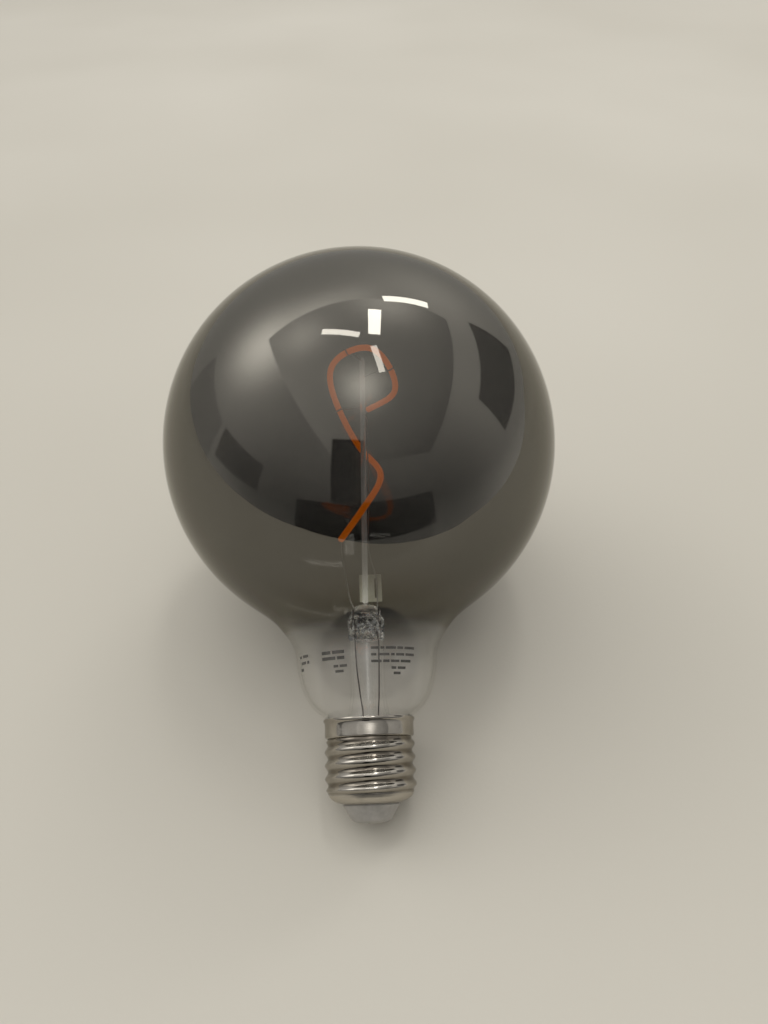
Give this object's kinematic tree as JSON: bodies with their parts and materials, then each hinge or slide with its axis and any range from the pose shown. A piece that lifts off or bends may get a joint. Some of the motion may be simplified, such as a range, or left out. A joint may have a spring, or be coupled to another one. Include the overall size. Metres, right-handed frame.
{
  "type": "led filament light bulb",
  "caption": "Large globe light bulb with a smoked mirror glass envelope, a spiral LED filament on a glass stem, and a screw cap.",
  "frame": {"origin": "centre of the centre contact's flat face, on the bulb's axis", "axes": "+Z along the bulb's axis from the cap to the globe, -Y towards the front"},
  "size_m": [0.125, 0.125, 0.1773],
  "materials": {
    "smoked_glass": "mirror-bright smoked coating that fades to clear at the neck",
    "clear_glass": "clear polished glass",
    "nickel_shell": "bright nickel plate on rolled sheet",
    "insulator_ceramic": "pale grey satin insulator",
    "contact_metal": "plain nickelled contact",
    "cement": "matt basing cement",
    "copper_wire": "dull copper-clad wire",
    "nickel_wire": "bright drawn wire",
    "support_wire": "dark drawn molybdenum wire",
    "phosphor_silicone": "translucent orange phosphor silicone",
    "filament_strip": "thin flexible circuit strip",
    "tab_metal": "stamped tinned tab",
    "getter": "dull coated strip",
    "sleeve": "woven glass-fibre sleeving",
    "board": "green solder resist",
    "chip_black": "moulded epoxy",
    "capacitor_can": "sleeved aluminium can",
    "film_capacitor": "dipped epoxy",
    "resistor_body": "lacquered body",
    "live_insulation": "thin wire insulation",
    "neutral_insulation": "thin wire insulation"
  },
  "bodies": {
    "root": {"glass_envelope": "smoked_glass", "screw_shell": "nickel_shell", "insulator": "insulator_ceramic", "centre_contact": "contact_metal", "cap_cement": "cement", "stem_flare": "clear_glass", "pinch_seal": "clear_glass", "exhaust_tube": "clear_glass", "centre_rod": "clear_glass", "seal_wire_left": "copper_wire", "seal_wire_right": "copper_wire", "led_filament": "phosphor_silicone", "filament_substrate": "filament_strip", "filament_tab_start": "tab_metal", "filament_tab_end": "tab_metal", "support_wire_1": "support_wire", "support_wire_2": "support_wire", "support_wire_3": "support_wire", "inner_lead_left": "nickel_wire", "inner_lead_right": "nickel_wire", "outer_lead_left": "copper_wire", "outer_lead_right": "copper_wire", "lead_sleeve_left": "sleeve", "lead_sleeve_right": "sleeve", "getter_tab": "getter", "driver_board": "board", "bridge_rectifier": "chip_black", "driver_ic": "chip_black", "sense_resistor_1": "chip_black", "sense_resistor_2": "chip_black", "electrolytic_capacitor": "capacitor_can", "input_capacitor": "film_capacitor", "fusible_resistor": "resistor_body", "live_wire": "live_insulation", "neutral_wire": "neutral_insulation"}
  },
  "joints": []
}
